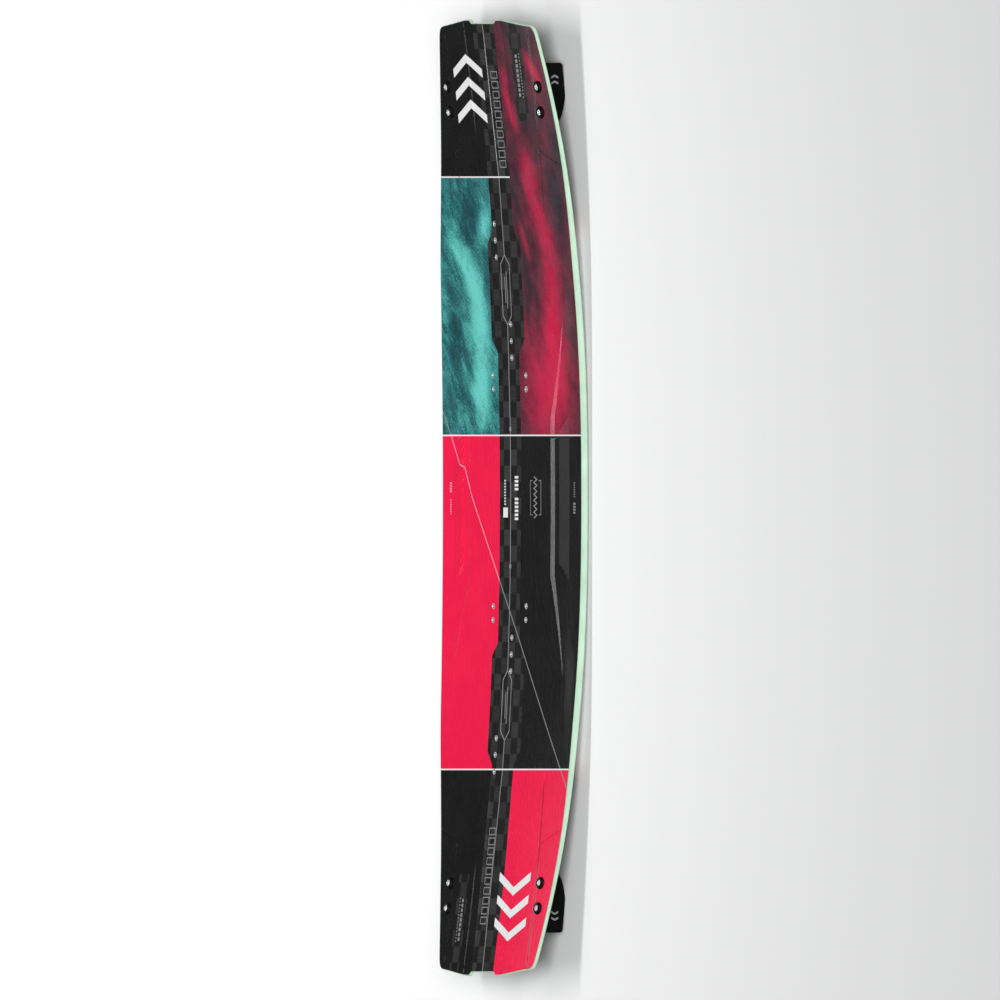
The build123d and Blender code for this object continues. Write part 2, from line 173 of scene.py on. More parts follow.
# ---- shape functions, which take numbers or arrays ----


def smooth(value, start, end):
    share = np.clip((value - start) / (end - start), 0, 1)
    return share * share * (3 - 2 * share)


def mix(first, second, share):
    return first + (second - first) * share


def unit(vectors):
    return vectors / np.linalg.norm(vectors, axis=1, keepdims=True)


def along(x):
    return np.abs(x) / HALF_LENGTH


def rocker(x):
    return ROCKER_RISE * along(x) ** ROCKER_POWER


def mid_thickness(x):
    return MID_THICKNESS - THICKNESS_LOSS * along(x) ** THICKNESS_POWER


def bevel_width(x):
    return MID_BEVEL_WIDTH - (MID_BEVEL_WIDTH - TIP_BEVEL_WIDTH) * along(x) ** 3


def bevel_height(x):
    return mix(MID_BEVEL_HEIGHT, TIP_BEVEL_HEIGHT, smooth(np.abs(x), *BEVEL_FALL_ALONG))


def deck_half_width(x):
    return HALF_WIDTH - MID_BEVEL_WIDTH - SIDE_TAPER * along(x) ** SIDE_TAPER_POWER


def outer_half_width(x):
    return deck_half_width(x) + bevel_width(x)


def core_half_width(x):
    return outer_half_width(x) - RAIL_WIDTH


def edge_drop(x):
    """How far the deck's edge lies below its centreline."""
    towards_tip = TIP_EDGE_DROP * smooth(np.abs(x), *TIP_EDGE_ALONG)
    return MID_EDGE_DROP + towards_tip - END_EDGE_RISE * smooth(np.abs(x), *END_EDGE_ALONG)


def branch_distance(x, y):
    """How far a point lies from the short crease that runs out to the rail near each fin."""
    run = BRANCH_TO - BRANCH_FROM
    out_x, out_y = x - BRANCH_FROM[0], y - BRANCH_FROM[1]
    share = np.clip((out_x * run[0] + out_y * run[1]) / (run @ run), 0, 1)
    return np.hypot(out_x - share * run[0], out_y - share * run[1])


def scoop_wall(ax):
    """Where the top edge of the scoop's wall lies and how deep the wall is."""
    way_out = np.clip((ax - WALL_BEND_X) / (WALL_END_X - WALL_BEND_X), 0, 1)
    top_y = WALL_Y - WALL_LEAD + WALL_SPREAD * (1 - (1 - way_out) ** WALL_CURVE)
    return top_y, mix(SCOOP_DEPTH, WALL_END_DEPTH, way_out)


def ridge_height(ax, ay):
    rise = (ay - RIDGE_Y[0]) / (RIDGE_Y[1] - RIDGE_Y[0])
    fall = (RIDGE_Y[2] - ay) / (RIDGE_Y[2] - RIDGE_Y[1])
    end_x = RIDGE_END_X + RIDGE_END_LEAN * (ay - RIDGE_Y[0])
    end_share = smooth(ax, end_x + RIDGE_END_BLEND, end_x - RIDGE_END_BLEND)
    return SCOOP_DEPTH * np.clip(np.minimum(rise, fall), 0, 1) * end_share


def crease_share(ax, ay):
    """1 along the middle of a crease, falling to 0 at its edges."""
    long_crease = np.clip(1 - np.abs(ay - WALL_Y) / CREASE_HALF_WIDTH, 0, 1)
    branch = np.clip(1 - branch_distance(ax, ay) / CREASE_HALF_WIDTH, 0, 1)
    return np.maximum(long_crease * smooth(ax, *CREASE_ALONG), branch)


def deck_height(x, y):
    """The deck's upper surface with its moulded scoops, pads and creases."""
    ax, ay = np.abs(x), np.abs(y)
    tip_share = smooth(ax, *SCOOP_FADE_ALONG)
    wall_top, wall_depth = scoop_wall(ax)
    wall_share = np.clip((ay - wall_top) / (WALL_RUN * wall_depth), 0, 1)
    scoop = wall_depth * wall_share
    scoop = scoop + (SCOOP_DEPTH - wall_depth) * smooth(ay, wall_top + WALL_LEAD, SCOOP_REACH)
    arch = edge_drop(x) * (ay / deck_half_width(x)) ** 2
    side = (1 - tip_share) * (scoop - ridge_height(ax, ay)) + tip_share * arch
    pad = smooth(ay, *PAD_INNER_STEP) * smooth(ay, *PAD_OUTER_STEP) * smooth(ax, *PAD_ALONG)
    height = MID_DECK_Z + rocker(x) - side + PAD_HEIGHT * pad
    return height - CREASE_DEPTH * crease_share(ax, ay)


def base_height(x, y):
    """The base's lower surface: rocker with a single concave."""
    middle = MID_DECK_Z + rocker(x) - mid_thickness(x)
    concave = edge_drop(x) + bevel_height(x) + RAIL_LIP - mid_thickness(x)
    return middle - concave * (y / deck_half_width(x)) ** 2


def raised(height, rise):
    """A height function moved up."""
    return lambda x, y: height(x, y) + rise


def slopes(height, x, y, step=0.03):
    """Upward unit normals of a height function."""
    dx = (height(x + step, y) - height(x - step, y)) / (2 * step)
    dy = (height(x, y + step) - height(x, y - step)) / (2 * step)
    return unit(np.stack([-dx, -dy, np.ones_like(dx)], axis=1))


# ---- plan outlines ----


def bezier(a, b, c, d, steps):
    t = np.linspace(0, 1, steps + 1)[:, None]
    return (1 - t) ** 3 * a + 3 * (1 - t) ** 2 * t * b + 3 * (1 - t) * t ** 2 * c + t ** 3 * d


def rounded(points, radius, steps=4):
    """An open polyline with arcs in place of its inner corners."""
    points = [np.array(p, float) for p in points]
    result = [points[0][None]]
    for before, corner, after in zip(points, points[1:], points[2:]):
        back = (before - corner) / np.linalg.norm(before - corner)
        ahead = (after - corner) / np.linalg.norm(after - corner)
        half_angle = math.acos(np.clip(back @ ahead, -1, 1)) / 2
        reach = radius / math.tan(half_angle)
        start, end = corner + back * reach, corner + ahead * reach
        result.append(bezier(start, mix(start, corner, 0.6), mix(end, corner, 0.6), end, steps))
    result.append(points[-1][None])
    return np.concatenate(result)


def board_outline(half_width, inset, side_steps=110):
    """The board from above, anticlockwise from the middle of the left tip. Point n of any two
    such outlines lies at the same place along the edge."""
    tip_x = HALF_LENGTH - inset
    corner_x = tip_x - CORNER_DROP - CORNER_RADIUS
    corner_y = half_width(corner_x)
    slope = corner_y - half_width(corner_x - 1)
    corner = np.array((corner_x, corner_y))
    shoulder = np.array((tip_x - CORNER_DROP, corner_y - CORNER_RADIUS))
    bend = 0.55 * CORNER_RADIUS
    arc = bezier(shoulder, shoulder + (0, bend), corner + (bend, bend * slope), corner, 10)
    tip = rounded(
        [
            (tip_x - NOTCH_DEPTH, 0),
            (tip_x - NOTCH_DEPTH, NOTCH_HALF_WIDTH),
            (tip_x, LOBE_FROM),
            (tip_x, LOBE_TO),
            (tip_x - SHOULDER_DROP, SHOULDER_Y),
            shoulder,
        ],
        TIP_FILLET,
    )[:-1]
    side_x = np.linspace(corner_x, 0, side_steps + 1)[1:]
    side = np.stack([side_x, half_width(side_x)], axis=1)
    quarter = np.concatenate([tip, arc, side])
    heel = np.concatenate([quarter, quarter[-2::-1] * (-1, 1)])
    toe = heel[-2:0:-1] * (1, -1)
    return np.concatenate([heel, toe])


def stripe(path, width):
    """The outline of a line of one width along a path."""
    path = np.array(path, float)
    ahead = unit(np.diff(path, axis=0))
    before = np.concatenate([ahead[:1], ahead])
    after = np.concatenate([ahead, ahead[-1:]])
    middle = unit(before + after)
    stretch = 1 / np.sum(middle * after, axis=1, keepdims=True)
    offset = np.stack([-middle[:, 1], middle[:, 0]], axis=1) * stretch * width / 2
    return np.concatenate([path + offset, (path - offset)[::-1]])


def circle(x, y, radius, steps=24):
    angles = np.linspace(0, 2 * math.pi, steps, endpoint=False)
    return np.stack([x + radius * np.cos(angles), y + radius * np.sin(angles)], axis=1)


def rectangle(x, y, length, width):
    corners = np.array([(-1, -1), (1, -1), (1, 1), (-1, 1)])
    return corners * (length / 2, width / 2) + (x, y)


def anticlockwise(polygon):
    x, y = polygon.T
    area = x @ np.roll(y, -1) - y @ np.roll(x, -1)
    return polygon if area > 0 else polygon[::-1]


class Plan:
    """A plane cut into triangles along named outlines, each triangle knowing which it lies in."""

    def __init__(self, outlines, inner_points):
        points = [inner_points]
        faces = []
        owners = []
        count = len(inner_points)
        for name, polygons in outlines.items():
            for polygon in polygons:
                points.append(anticlockwise(polygon))
                faces.append(list(range(count, count + len(polygon))))
                owners.append(name)
                count += len(polygon)
        vectors = [Vector(p) for p in np.concatenate(points).tolist()]
        found, _, triangles, _, _, sources = delaunay_2d_cdt(vectors, [], faces, 1, 1e-3)
        self.points = np.array(found)
        self.triangles = np.array(triangles)
        self.inside = {name: np.zeros(len(triangles), bool) for name in outlines}
        for index, source in enumerate(sources):
            for face in source:
                self.inside[owners[face]][index] = True
        self.centres = self.points[self.triangles].mean(axis=1)


# ---- meshes ----

scene = bpy.context.scene


def placed(name, data):
    obj = bpy.data.objects.new(name, data)
    scene.collection.objects.link(obj)
    return obj


def piece(name, points, faces, look, slot, replaced=(), normals=None):
    """Makes a mesh object from points in millimetres. Normals are one for each corner of each face."""
    mesh = bpy.data.meshes.new(name)
    mesh.from_pydata((np.asarray(points) * MM).tolist(), [], faces)
    mesh.update()
    mesh.shade_smooth()
    if normals is None:
        mesh.set_sharp_from_angle(angle=math.radians(32))
    else:
        mesh.normals_split_custom_set(normals)
    mesh.materials.append(look)
    obj = placed(name, mesh)
    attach(obj, "root")
    if replaced:
        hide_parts(*replaced)


def sheet(name, plan, chosen, upper, lower, look, slot, replaced=(), to_frame=None):
    """A closed sheet over some of a plan's triangles, between two height functions."""
    used, flat = np.unique(plan.triangles[chosen], return_inverse=True)
    top = flat.reshape(-1, 3)
    count = len(used)
    a, b = plan.points[used].T
    high = np.stack([a, b, upper(a, b)], axis=1)
    low = np.stack([a, b, lower(a, b)], axis=1)
    edges = np.concatenate([top[:, [0, 1]], top[:, [1, 2]], top[:, [2, 0]]])
    keys = edges[:, 0] * count + edges[:, 1]
    twins = edges[:, 1] * count + edges[:, 0]
    rim = edges[~np.isin(keys, twins)]
    walls = np.stack([rim[:, 0], rim[:, 0] + count, rim[:, 1] + count, rim[:, 1]], axis=1)
    bottom = top[:, ::-1] + count
    direction = high[rim[:, 1]] - high[rim[:, 0]]
    outward = unit(np.stack([direction[:, 1], -direction[:, 0], np.zeros(len(rim))], axis=1))
    up = slopes(upper, a, b)[top.ravel()]
    down = -slopes(lower, a, b)[(bottom - count).ravel()]
    normals = np.concatenate([up, down, np.repeat(outward, 4, axis=0)])
    points = np.concatenate([high, low])
    if to_frame is not None:
        points = points @ to_frame[:3, :3].T + to_frame[:3, 3]
        normals = normals @ to_frame[:3, :3].T
    faces = top.tolist() + bottom.tolist() + walls.tolist()
    piece(name, points, faces, look, slot, replaced, normals.tolist())


def tube(rings):
    """Points and faces through closed rings of one count, closed by a face at each end."""
    count, steps = rings.shape[:2]
    faces = []
    for ring in range(count - 1):
        for step in range(steps):
            here = ring * steps + step
            beside = ring * steps + (step + 1) % steps
            faces.append((here, here + steps, beside + steps, beside))
    faces.append(tuple(range(steps)))
    faces.append(tuple((count - 1) * steps + step for step in reversed(range(steps))))
    return rings.reshape(-1, 3), faces


def lathe(profile, steps=40):
    """Points and faces of a profile turned round Z. A profile point is (radius, z), with "hex" or
    a thread's depth after it where it isn't round."""
    angles = np.linspace(0, 2 * math.pi, steps, endpoint=False)
    rings = []
    for radius, z, *shape in profile:
        radii = np.full(steps, float(radius))
        if shape == ["hex"]:
            radii = radius * math.cos(math.pi / 6) / np.cos(angles % (math.pi / 3) - math.pi / 6)
        elif shape:
            phase = (z / THREAD_PITCH - angles / (2 * math.pi)) % 1
            radii = radius + shape[0] * np.abs(2 * phase - 1)
        rings.append(np.stack([radii * np.cos(angles), radii * np.sin(angles), np.full(steps, z)], axis=1))
    return tube(np.array(rings))


def thread(radius, start, end, depth, per_turn=6):
    """Profile points for a thread between two heights."""
    count = int(abs(end - start) / THREAD_PITCH * per_turn)
    return [(radius, z, depth) for z in np.linspace(start, end, count)]


def joined(shapes):
    """Several (points, faces) as one."""
    points, faces, count = [], [], 0
    for shape_points, shape_faces in shapes:
        points.append(shape_points)
        faces += [tuple(index + count for index in face) for face in shape_faces]
        count += len(shape_points)
    return np.concatenate(points), faces


# ---- materials ----


def srgb(red, green, blue):
    """A colour as a screen shows it, 0 to 255, as the linear colour Blender wants."""
    linear = []
    for share in (red / 255, green / 255, blue / 255):
        linear.append(share / 12.92 if share <= 0.04045 else ((share + 0.055) / 1.055) ** 2.4)
    return (*linear, 1.0)


def tinted(colour, factor, lift=0.0):
    """A linear colour made darker or lighter."""
    return tuple(min(c * factor + lift, 1) for c in colour[:3]) + (1.0,)


class Look:
    """A material under construction. Most methods add nodes and return an output socket."""

    def __init__(self, name, roughness=0.4, specular=0.25, metallic=0.0):
        self.material = bpy.data.materials.new(name)
        self.material.use_nodes = True
        self.tree = self.material.node_tree
        self.shader = self.tree.nodes["Principled BSDF"]
        self.feed(self.shader.inputs["Specular IOR Level"], specular)
        self.feed(self.shader.inputs["Metallic"], metallic)
        self.roughness = roughness
        self.place = self.node("ShaderNodeTexCoord").outputs["Object"]

    def node(self, kind, inputs=None, **settings):
        node = self.tree.nodes.new(kind)
        for name, value in settings.items():
            setattr(node, name, value)
        for name, value in (inputs or {}).items():
            self.feed(node.inputs[name], value)
        return node

    def feed(self, socket, value):
        """Gives an input a constant or another node's output."""
        if isinstance(value, bpy.types.NodeSocket):
            self.tree.links.new(value, socket)
        else:
            socket.default_value = value

    def moved(self, shift=(0, 0, 0), turn=0.0, stretch=(1, 1, 1)):
        """Coordinates about a point in millimetres, turned round Z and stretched."""
        shift = [-s * MM for s in shift]
        place = self.place
        for name, value in (
            ("Location", shift),
            ("Rotation", (0, 0, -math.radians(turn))),
            ("Scale", stretch),
        ):
            place = self.node("ShaderNodeMapping", {"Vector": place, name: value}).outputs[0]
        return place

    def noise(self, size, detail=3.0, stretch=(1, 1, 1), turn=0.0, distortion=0.0):
        """Noise with features of about this size in millimetres, stretched by these factors."""
        inputs = {
            "Vector": self.moved(turn=turn, stretch=[1 / s for s in stretch]),
            "Scale": 1 / (size * MM),
            "Detail": detail,
            "Distortion": distortion,
        }
        return self.node("ShaderNodeTexNoise", inputs).outputs[0]

    def maths(self, operation, first, second=0.0):
        return self.node("ShaderNodeMath", {0: first, 1: second}, operation=operation).outputs[0]

    def total(self, *parts):
        """The sum of (value, share) pairs, each value times its share."""
        scaled = [self.maths("MULTIPLY", value, share) for value, share in parts]
        result = scaled[0]
        for part in scaled[1:]:
            result = self.maths("ADD", result, part)
        return result

    def remap(self, value, low, high, to_low=0.0, to_high=1.0):
        inputs = {"Value": value, "From Min": low, "From Max": high, "To Min": to_low, "To Max": to_high}
        return self.node("ShaderNodeMapRange", inputs, interpolation_type="SMOOTHSTEP").outputs[0]

    def blob(self, x, y, length, width, turn=0.0):
        """1 at a point on the board, falling smoothly to 0 at an ellipse round it."""
        stretch = (1 / (length * MM), 1 / (width * MM), 0)
        centred = self.moved((x, y, 0), turn, stretch)
        distance = self.node("ShaderNodeVectorMath", {0: centred}, operation="LENGTH").outputs["Value"]
        return self.remap(distance, 1.0, 0.0)

    def axis(self, name):
        """One coordinate, in millimetres."""
        parts = self.node("ShaderNodeSeparateXYZ", {0: self.place})
        return self.maths("DIVIDE", parts.outputs[name], MM)

    def blend(self, share, first, second):
        return self.node("ShaderNodeMix", {0: share, 6: first, 7: second}, data_type="RGBA").outputs[2]

    def ramp(self, value, stops):
        node = self.node("ShaderNodeValToRGB", {"Fac": value})
        elements = node.color_ramp.elements
        while len(elements) < len(stops):
            elements.new(0.5)
        for element, (position, colour) in zip(elements, stops):
            element.position = position
            element.color = colour
        return node.outputs["Color"]

    def finish(self, colour, relief=None, depth=0.05, roughness_noise=None, spread=0.08):
        """Joins a colour, a relief of this depth in millimetres and a varied roughness to the
        shader, and returns the material."""
        sockets = self.shader.inputs
        self.feed(sockets["Base Color"], colour)
        wear = roughness_noise or self.noise(35, 4)
        rough = self.remap(wear, 0.3, 0.7, self.roughness - spread, self.roughness + spread)
        self.feed(sockets["Roughness"], rough)
        if relief is not None:
            bump = self.node("ShaderNodeBump", {"Height": relief, "Distance": depth * MM, "Strength": 1.0})
            self.feed(sockets["Normal"], bump.outputs["Normal"])
        return self.material


# Painted shade: a dark colour laid into the ink along the long creases beside the fins, in place of the
# shade that falls in them
PAINTED_CREASE_SHADE_WIDTH = (2.6, 0.4)  # from the crease's middle: where the shade starts and is full
PAINTED_CREASE_SHADE_ALONG = (425, 450)
PAINTED_CREASE_SHADE = srgb(20, 8, 12)
FILM_RELIEF = 0.012  # millimetres
SCREEN_PITCH = 3.4  # millimetres between the lines of the printer's screen


def painted_crease_shade(look, ink):
    """The ink darkened in the long creases beside the fins: painted shade, standing in for the shade that
    falls in a crease.
    """
    x = look.maths("ABSOLUTE", look.axis("X"))
    y = look.maths("ABSOLUTE", look.axis("Y"))
    offset = look.maths("ABSOLUTE", look.maths("SUBTRACT", y, WALL_Y))
    across = look.remap(offset, *PAINTED_CREASE_SHADE_WIDTH)
    shade = look.maths("MULTIPLY", across, look.remap(x, *PAINTED_CREASE_SHADE_ALONG, 0.0, 0.6))
    return look.blend(shade, ink, PAINTED_CREASE_SHADE)


def flat_print(name, colour, strength=0.06, roughness=0.24):
    """A flat field of ink under clear film: faint blotches, rubbed patches and fine scratches, with painted
    shade along the long creases beside the fins.
    """
    look = Look(name, roughness=roughness, specular=0.2)
    blotches = look.noise(60, 3)
    grain = look.noise(1.2, 2)
    scratches = look.noise(1.1, 2, stretch=(60, 1, 1), turn=12)
    tone = look.total((blotches, 0.6), (grain, 0.4))
    lighter = tinted(colour, 1 + strength, 0.002)
    ink = look.blend(look.remap(tone, 0.35, 0.65), tinted(colour, 1 - strength), lighter)
    worn = look.remap(scratches, 0.68, 0.78, 0.0, 0.06)
    # scratches rub the ink paler, and painted shade darkens it along the creases
    ink = painted_crease_shade(look, look.blend(worn, ink, srgb(150, 150, 152)))
    return look.finish(ink, look.noise(4, 2), FILM_RELIEF, scratches, spread=0.05)


def cloudy_print(name, noises, blobs, screen_strength, inks, with_painted_crease_shade=False):
    """A field of cloudy print, made of noises and soft blobs, each with its share after it, and of
    a fine diagonal screen such as a printer lays. Its tone runs through the inks."""
    look = Look(name, roughness=0.3, specular=0.18)
    layers = [(look.noise(*noise), share) for *noise, share in noises]
    layers += [(look.blob(*blob), share) for *blob, share in blobs]
    light = look.total(*layers)
    pitch = SCREEN_PITCH * MM
    inputs = {"Vector": look.moved(turn=52), "Scale": 0.1 * math.pi / pitch, "Distortion": 0.6}
    screen = look.node("ShaderNodeTexWave", inputs, wave_type="BANDS", bands_direction="X").outputs["Fac"]
    speckle = look.noise(2.6, 2)
    for pattern, low, high in ((screen, 0, 1), (speckle, 0.3, 0.7)):
        light = look.maths("ADD", light, look.remap(pattern, low, high, -screen_strength, screen_strength))
    ink = look.ramp(light, inks)
    # painted shade along the long creases beside the fins
    if with_painted_crease_shade:
        ink = painted_crease_shade(look, ink)
    return look.finish(ink, look.noise(4, 2), FILM_RELIEF)


# A teal field with pale drifts, and a smoky maroon one with crimson drifts. Noises are as in
# Look.noise and drifts as in Look.blob.
TEAL_NOISES = ((62, 3, (1.9, 1, 1), 33, 0.7, 0.55), (19, 4, (2.2, 1, 1), 33, 1.0, 0.5))
TEAL_DRIFTS = (
    (383, 151, 64, 32, 28, 0.24),
    (412, 56, 66, 26, -38, 0.22),
    (352, 116, 60, 36, 30, 0.20),
    (300, 92, 110, 42, 16, 0.32),
    (235, 86, 100, 44, 0, 0.26),
    (150, 88, 90, 46, 0, 0.30),
    (118, 150, 40, 44, 0, 0.18),
    (228, 160, 70, 32, 0, -0.22),
    (440, 100, 60, 40, 0, -0.16),
    (300, 172, 60, 24, 20, -0.12),
    (330, 58, 46, 18, 0, -0.16),
)
TEAL_INKS = (
    (0.34, srgb(20, 62, 70)),
    (0.52, srgb(34, 98, 104)),
    (0.70, srgb(70, 160, 156)),
    (0.94, srgb(108, 206, 199)),
)
SMOKE_NOISES = ((70, 3, (1.8, 1, 1), 30, 0.7, 0.44), (20, 4, (2.4, 1, 1), 30, 0.9, 0.3))
SMOKE_DRIFTS = (
    (453, -98, 55, 36, 35, 0.28),
    (412, -120, 62, 38, 30, 0.28),
    (350, -136, 90, 44, 14, 0.34),
    (262, -142, 115, 56, 4, 0.36),
    (165, -116, 150, 112, 0, 0.42),
    (388, -64, 48, 13, 24, 0.30),
    (498, -88, 56, 38, 20, 0.36),
    (582, -58, 46, 22, 20, 0.28),
    (624, -46, 48, 17, 0, 0.28),
    (648, -130, 50, 15, 34, 0.36),
    (445, -168, 95, 28, 15, -0.22),
    (537, -180, 90, 32, 15, -0.24),
    (330, -66, 90, 22, 0, -0.14),
    (450, -44, 60, 22, 0, -0.08),
    (704, -110, 34, 70, 0, -0.14),
)
SMOKE_INKS = (
    (0.24, srgb(44, 33, 43)),
    (0.42, srgb(94, 34, 52)),
    (0.62, srgb(158, 32, 64)),
    (0.84, srgb(204, 26, 72)),
)

TAPE_LENGTH = 24.3
TAPE_WIDTH = 20.0
WOOD_STRIP_WIDTH = 30.0


def carbon_weave():
    """Spread-tow carbon under clear film: flat tapes that run along and across by turns."""
    look = Look("carbon_weave", roughness=0.33, specular=0.18)
    cells = look.moved(stretch=(1 / (TAPE_LENGTH * MM), 1 / (TAPE_WIDTH * MM), 0))
    parity = look.node("ShaderNodeTexChecker", {"Vector": cells, "Scale": 1.0}).outputs["Fac"]
    whole = look.node("ShaderNodeVectorMath", {0: cells}, operation="FLOOR").outputs[0]
    chance = look.node("ShaderNodeTexWhiteNoise", {"Vector": whole}, noise_dimensions="2D").outputs["Value"]
    lengthwise = look.noise(0.9, 2, stretch=(40, 1, 1))
    crosswise = look.noise(0.9, 2, stretch=(1, 40, 1))
    threads = look.blend(parity, lengthwise, crosswise)
    shade = look.total((parity, 0.62), (chance, 0.28))
    shade = look.maths("ADD", shade, look.remap(threads, 0.3, 0.7, -0.07, 0.07))
    ink = look.ramp(shade, [(0.0, srgb(8, 8, 8)), (0.4, srgb(16, 16, 16)), (1.0, srgb(54, 54, 53))])
    return look.finish(ink, threads, FILM_RELIEF, threads, spread=0.06)


def moulded(name, colour, roughness, grain=1.4, specular=0.3, streaks=None):
    """Moulded or milled plastic: fine grain, with streaks along X where a cutter has passed."""
    look = Look(name, roughness=roughness, specular=specular)
    cloud = look.noise(45, 3)
    relief = look.noise(streaks, 2, stretch=(25, 1, 1)) if streaks else look.noise(grain, 3)
    tone = look.total((cloud, 0.6), (relief, 0.4))
    shade = look.blend(look.remap(tone, 0.35, 0.65), tinted(colour, 0.9), tinted(colour, 1.06, 0.001))
    return look.finish(shade, relief, depth=0.04)


def turned_metal(name, colour, roughness=0.3, metallic=1.0):
    """Metal off a lathe, with fine tool marks and a cloudy tone."""
    look = Look(name, roughness=roughness, specular=0.5, metallic=metallic)
    tool_marks = look.noise(0.35, 2, stretch=(8, 8, 1))
    cloud = look.noise(6, 3)
    shade = look.blend(look.remap(cloud, 0.3, 0.7), tinted(colour, 0.82), colour)
    return look.finish(shade, tool_marks, depth=0.02)


def glass_laminate():
    """Woven glass in resin."""
    look = Look("glass_laminate", roughness=0.45)
    weave = look.noise(0.8, 2, stretch=(12, 1, 1))
    cross = look.noise(0.8, 2, stretch=(1, 12, 1))
    cloth = look.total((weave, 0.5), (cross, 0.5))
    ink = look.blend(look.remap(cloth, 0.35, 0.65), srgb(150, 160, 142), srgb(182, 190, 172))
    return look.finish(ink, cloth, depth=0.03)


def wood():
    """Strips of pale wood side by side, with the grain along the board."""
    look = Look("paulownia", roughness=0.6)
    grain = look.noise(3, 5, stretch=(30, 1, 1), distortion=0.3)
    strip = look.maths("FLOOR", look.maths("DIVIDE", look.axis("Y"), WOOD_STRIP_WIDTH))
    tones = look.node("ShaderNodeTexWhiteNoise", {"W": strip}, noise_dimensions="1D").outputs["Value"]
    tone = look.total((grain, 0.7), (tones, 0.3))
    shade = look.ramp(tone, [(0.25, srgb(176, 140, 96)), (0.75, srgb(214, 184, 140))])
    return look.finish(shade, grain, depth=0.1)


RED = srgb(239, 20, 72)
BLACK = srgb(15, 15, 16)
MINT = srgb(196, 232, 204)

LOOKS = {
    "red": flat_print("red_print", RED, strength=0.04),
    "black": flat_print("black_print", BLACK, strength=0.16),
    "teal": cloudy_print("teal_print", TEAL_NOISES, TEAL_DRIFTS, 0.08, TEAL_INKS),
    "smoke": cloudy_print("smoke_print", SMOKE_NOISES, SMOKE_DRIFTS, 0.05, SMOKE_INKS, with_painted_crease_shade=True),
    "white": flat_print("white_ink", srgb(232, 232, 232), strength=0.03),
    "grey": flat_print("grey_ink", srgb(138, 138, 138), strength=0.05),
    "pink": flat_print("pink_ink", srgb(250, 150, 170), strength=0.05),
    "carbon": carbon_weave(),
    "mint": moulded("mint_abs", MINT, 0.5, streaks=1.2),
    "laminate": glass_laminate(),
    "wood": wood(),
    "base_black": flat_print("base_black", srgb(26, 27, 29), strength=0.16, roughness=0.3),
    "base_red": flat_print("base_red", RED, strength=0.04, roughness=0.3),
    "base_pale": flat_print("base_pale", srgb(214, 217, 216), strength=0.04, roughness=0.3),
    "fin": moulded("fin_nylon", srgb(10, 10, 11), 0.5, grain=0.9, specular=0.04),
    "washer": moulded("washer_nylon", srgb(12, 12, 13), 0.5, grain=0.9, specular=0.1),
    "insert": turned_metal("insert_steel", srgb(205, 207, 208), 0.4, metallic=0.6),
    "screw": turned_metal("screw_steel", srgb(205, 206, 208), 0.3, metallic=0.6),
    "brass": turned_metal("bush_brass", srgb(210, 172, 96)),
}

# ---- inserts, carbon strips and the shapes of marks ----


def insert_centres():
    """Places of the threaded inserts, from the boxes of their nodes."""
    centres = {}
    for end in ENDS:
        for row in ("outer_pad", "inner_pad", "handle"):
            node = f"{row}_inserts_{end}"
            low, high = box_mm(node)
            columns, lines = (2, 2) if row == "handle" else (3, 1)
            xs = np.linspace(low[0] + INSERT_FLANGE_RADIUS, high[0] - INSERT_FLANGE_RADIUS, columns)
            ys = np.linspace(low[1] + INSERT_FLANGE_RADIUS, high[1] - INSERT_FLANGE_RADIUS, lines)
            centres[node] = [(x, y) for x in xs for y in ys]
    return centres


INSERTS = insert_centres()


def chevrons(x, y, length, width, count=3, thickness=13.0, point=1):
    """Nested arrowheads pointing along the board, as a generic mark."""
    reach = width / 4
    pitch = (length - thickness - reach) / (count - 1)
    marks = []
    for index in range(count):
        start = x + point * (-length / 2 + index * pitch)
        arrow = [
            (start, y - width / 2),
            (start + point * thickness, y - width / 2),
            (start + point * (thickness + reach), y),
            (start + point * thickness, y + width / 2),
            (start, y + width / 2),
            (start + point * reach, y),
        ]
        marks.append(np.array(arrow))
    return marks


def blocks(x, y, length, width, count, fill=0.62):
    """A row of small blocks along the board, in place of print."""
    pitch = length / count
    starts = x - length / 2 + pitch * (np.arange(count) + 0.5)
    return [rectangle(start, y, pitch * fill, width) for start in starts]


strip_side = rounded(
    [
        (HALF_LENGTH + OVERHANG, STRIP_HALF_WIDTH),
        (STRIP_WIDE_TO + STRIP_SHOULDER, STRIP_HALF_WIDTH),
        (STRIP_WIDE_TO, STRIP_WIDE),
        (STRIP_WIDE_FROM, STRIP_WIDE),
        (STRIP_WIDE_FROM - STRIP_SHOULDER, STRIP_HALF_WIDTH),
        (0, STRIP_HALF_WIDTH),
    ],
    STRIP_FILLET,
)
strip_heel = np.concatenate([strip_side, strip_side[-2::-1] * (-1, 1)])
strip_outline = np.concatenate([strip_heel, strip_heel[::-1] * (1, -1)])

patch_length = HALF_LENGTH - PATCH_FROM_X + OVERHANG
patch_x = PATCH_FROM_X + patch_length / 2
patch_y = (PATCH_INNER_Y + PATCH_OUTER_Y) / 2
patch_size = (patch_length, PATCH_OUTER_Y - PATCH_INNER_Y)
patches = [rectangle(end * patch_x, -end * patch_y, *patch_size) for end in ENDS.values()]

# ---- printed marks ----

# Widths of the printed lines
CROSS_LINE = 2.2
THIN_LINE = 2.0
BOX_LINE = 1.5
FAINT_LINE = 1.2

EDGE = HALF_WIDTH + OVERHANG


def cross_line(x, width, to_y=-EDGE):
    return stripe([(x, EDGE), (x, to_y)], width)


